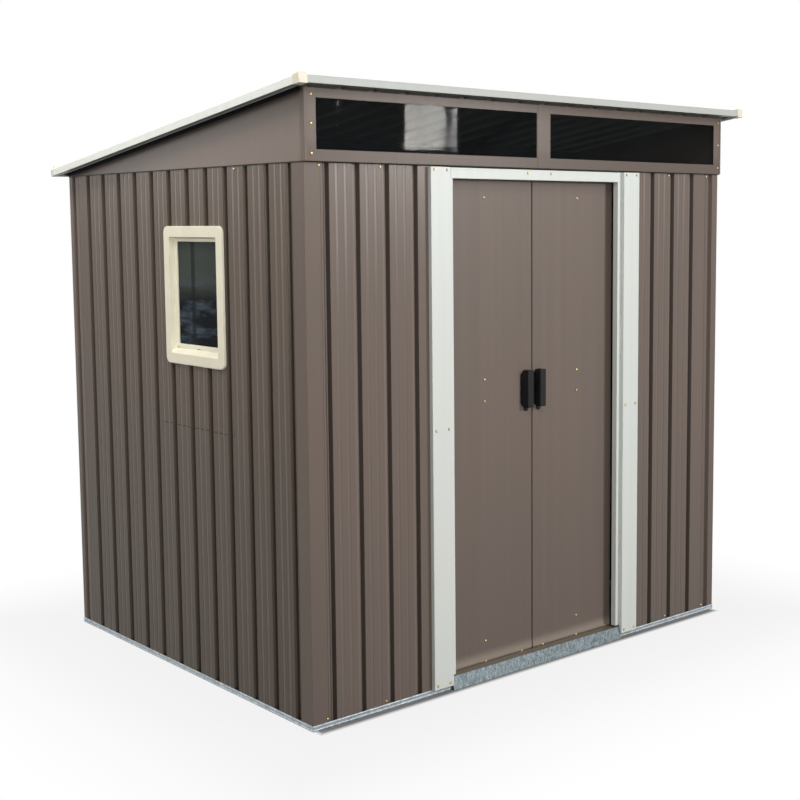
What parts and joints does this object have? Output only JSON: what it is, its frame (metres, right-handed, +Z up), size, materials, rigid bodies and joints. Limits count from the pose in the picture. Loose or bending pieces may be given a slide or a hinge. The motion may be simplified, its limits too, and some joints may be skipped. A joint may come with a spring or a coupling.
{
  "type": "storage shed",
  "caption": "Metal storage shed with a single slope roof, corrugated walls, a glazed strip over two sliding doors and a small side window.",
  "frame": {"origin": "on the ground, under the middle of the roof's plan", "axes": "+Z up, the doorway faces -Y, +X to the right when facing the doorway"},
  "size_m": [1.9, 1.526, 1.8227],
  "materials": {
    "wall_paint": "semi-gloss taupe coating on ribbed steel sheet",
    "trim_paint": "semi-gloss off-white coating on folded steel",
    "galvanised": "bare zinc coated steel with a mottled spangle",
    "cream_plastic": "satin moulded plastic",
    "tinted_pane": "clear dark tinted sheet",
    "black_plastic": "satin moulded plastic"
  },
  "bodies": {
    "shell": {"base_rail_front": "galvanised", "base_rail_back": "galvanised", "base_rail_left": "galvanised", "base_rail_right": "galvanised", "front_wall_left": "wall_paint", "front_wall_right": "wall_paint", "left_wall": "wall_paint", "right_wall": "wall_paint", "back_wall": "wall_paint", "corner_front_left": "wall_paint", "corner_front_right": "wall_paint", "corner_back_left": "wall_paint", "corner_back_right": "wall_paint", "upper_rail_left": "galvanised", "upper_rail_right": "galvanised", "upper_rail_back": "galvanised", "transom_sheet_left": "wall_paint", "transom_sheet_right": "wall_paint", "transom_pane_left": "tinted_pane", "transom_pane_right": "tinted_pane", "gable_left": "wall_paint", "gable_right": "wall_paint", "door_jamb_left": "trim_paint", "door_jamb_right": "trim_paint", "door_header": "trim_paint", "door_top_track": "galvanised", "door_floor_track": "galvanised", "door_threshold": "galvanised", "window_frame": "cream_plastic", "window_pane": "tinted_pane", "roof_beam": "galvanised", "roof_sheet": "wall_paint", "roof_trim_front": "trim_paint", "roof_trim_back": "trim_paint", "roof_trim_left": "trim_paint", "roof_trim_right": "trim_paint", "roof_cap_left": "cream_plastic", "roof_cap_right": "cream_plastic"},
    "door_left": {"door_left_leaf": "wall_paint", "door_left_handle": "black_plastic", "door_left_glides": "black_plastic"},
    "door_right": {"door_right_leaf": "wall_paint", "door_right_handle": "black_plastic", "door_right_glides": "black_plastic"}
  },
  "joints": [
    {"name": "door_left_slide", "type": "slide", "parent": "shell", "child": "door_left", "axis": [-1, 0, 0], "range_m": [0, 0.305]},
    {"name": "door_right_slide", "type": "slide", "parent": "shell", "child": "door_right", "axis": [1, 0, 0], "range_m": [0, 0.305]}
  ]
}
